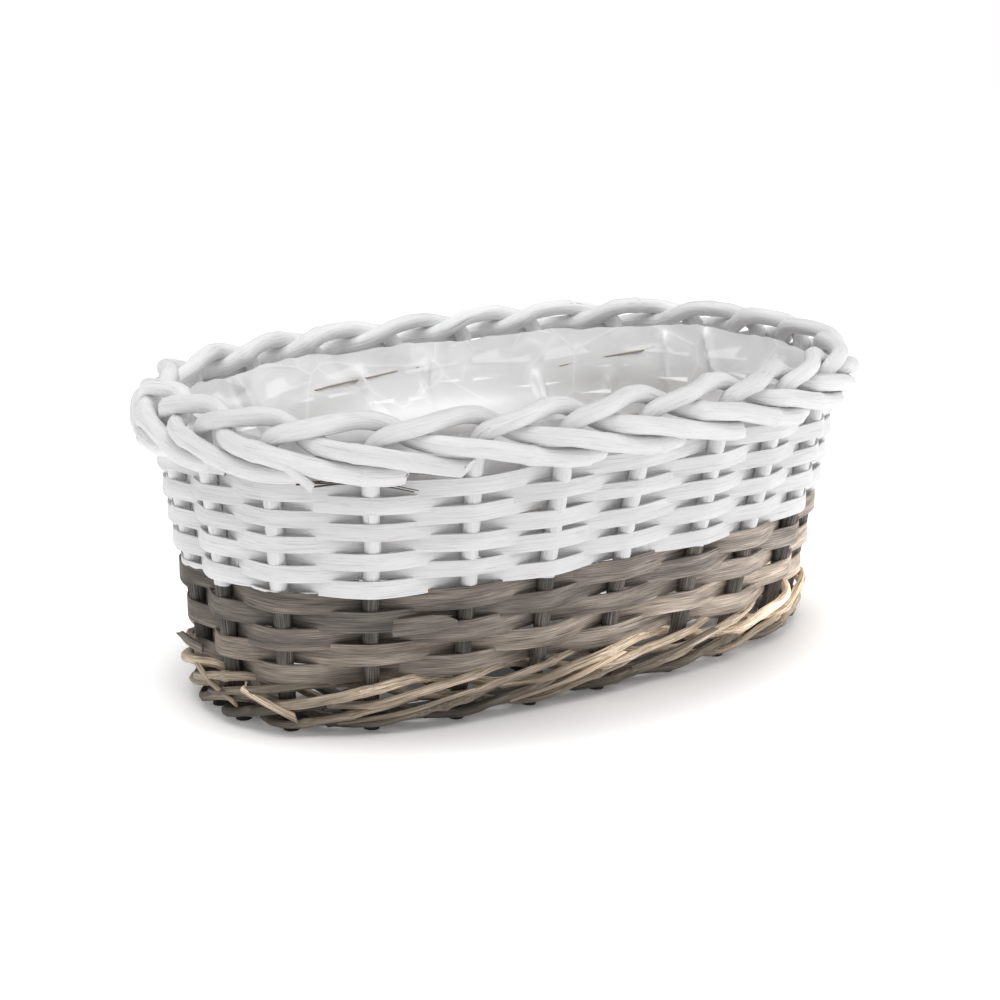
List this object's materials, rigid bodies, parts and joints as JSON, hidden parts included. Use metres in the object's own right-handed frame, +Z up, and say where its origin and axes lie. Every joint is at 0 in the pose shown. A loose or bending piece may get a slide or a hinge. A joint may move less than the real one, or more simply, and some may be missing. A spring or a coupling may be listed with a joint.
{
  "type": "wicker planter",
  "caption": "Oval woven willow planter with round stakes, split-strip walls, a waled foot, a rolled border and a stitched-in film liner.",
  "frame": {"origin": "centre of the oval, on the surface that the feet stand on", "axes": "+X along the oval's length, +Y across it towards the far long side, +Z up"},
  "size_m": [0.3916, 0.246, 0.162],
  "materials": {
    "white_paint": "willow under a thin matt white wash, with the bark's nodes and grain showing",
    "grey_willow": "split willow, steamed and greyed, dry and fibrous",
    "buff_willow": "thin unsplit willow rods, satin bark",
    "dark_willow": "dark weathered willow, matt",
    "clear_film": "thin clear film, glossy and creased",
    "twine": "thin twisted twine"
  },
  "bodies": {
    "root": {"stake_01": "white_paint", "stake_02": "white_paint", "stake_03": "white_paint", "stake_04": "white_paint", "stake_05": "white_paint", "stake_06": "white_paint", "stake_07": "white_paint", "stake_08": "white_paint", "stake_09": "white_paint", "stake_10": "white_paint", "stake_11": "white_paint", "stake_12": "white_paint", "stake_13": "white_paint", "stake_14": "white_paint", "stake_15": "white_paint", "stake_16": "white_paint", "stake_17": "white_paint", "stake_18": "white_paint", "stake_19": "white_paint", "stake_20": "white_paint", "stake_21": "white_paint", "stake_22": "white_paint", "natural_row_1": "grey_willow", "natural_row_2": "grey_willow", "natural_row_3": "grey_willow", "natural_row_4": "grey_willow", "natural_row_5": "grey_willow", "painted_row_1": "white_paint", "painted_row_2": "white_paint", "painted_row_3": "white_paint", "painted_row_4": "white_paint", "painted_row_5": "white_paint", "painted_row_6": "white_paint", "painted_row_7": "white_paint", "painted_row_8": "white_paint", "wale_rod_1": "buff_willow", "wale_rod_2": "buff_willow", "wale_rod_3": "buff_willow", "wale_rod_4": "buff_willow", "wale_rod_5": "buff_willow", "wale_rod_6": "buff_willow", "base_round_1": "dark_willow", "base_round_2": "dark_willow", "base_stick_1": "dark_willow", "base_stick_2": "dark_willow", "base_stick_3": "dark_willow", "base_stick_4": "dark_willow", "base_stick_5": "dark_willow", "base_stick_6": "dark_willow", "base_strip_1": "grey_willow", "base_strip_2": "grey_willow", "base_strip_3": "grey_willow", "base_strip_4": "grey_willow", "base_strip_5": "grey_willow", "base_strip_6": "grey_willow", "liner": "clear_film", "liner_stitch_1": "twine", "liner_stitch_2": "twine", "liner_stitch_3": "twine", "liner_stitch_4": "twine"}
  },
  "joints": []
}
